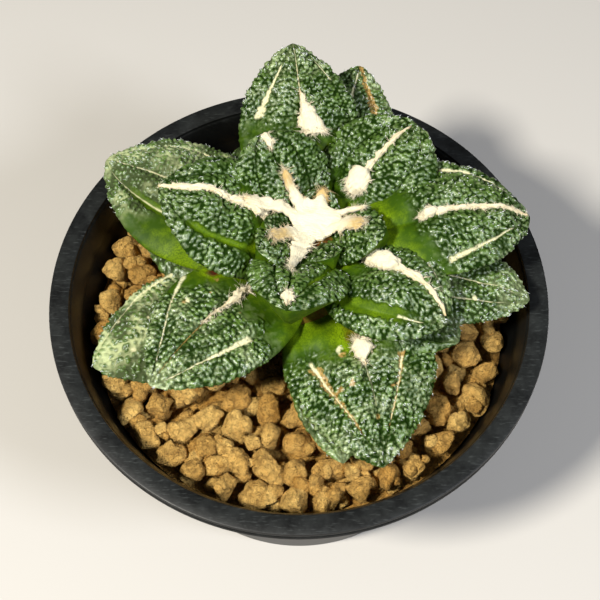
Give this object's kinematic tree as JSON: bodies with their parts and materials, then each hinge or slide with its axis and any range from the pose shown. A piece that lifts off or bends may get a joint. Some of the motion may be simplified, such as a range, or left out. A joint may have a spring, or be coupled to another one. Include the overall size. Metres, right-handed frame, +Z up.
{
  "type": "potted living rock cactus",
  "caption": "Living rock cactus: a flat rosette of warty, pointed tubercles with wool in its crown and furrows, in a round black plastic pot filled with clay grains.",
  "frame": {"origin": "middle of the pot's underside, on the surface it stands on", "axes": "+Z up the pot's axis; +Y away from the picture's camera and +X to its right"},
  "size_m": [0.105, 0.105, 0.0853],
  "materials": {
    "pot_plastic": "black moulded plastic, satin, scuffed",
    "clay_grains": "dry porous baked clay",
    "cactus_skin": "dull warty skin, moist underneath",
    "wool": "fresh ivory felt",
    "old_wool": "old cream felt with ochre hairs"
  },
  "bodies": {
    "root": {"pot": "pot_plastic", "clay_grain_bed": "clay_grains", "cactus_body": "cactus_skin", "crown_wool": "wool", "areole_wool_00": "old_wool", "areole_wool_01": "old_wool", "areole_wool_02": "old_wool", "areole_wool_03": "old_wool", "areole_wool_04": "old_wool", "areole_wool_05": "old_wool", "areole_wool_06": "old_wool", "areole_wool_07": "old_wool", "areole_wool_08": "old_wool"}
  },
  "joints": []
}
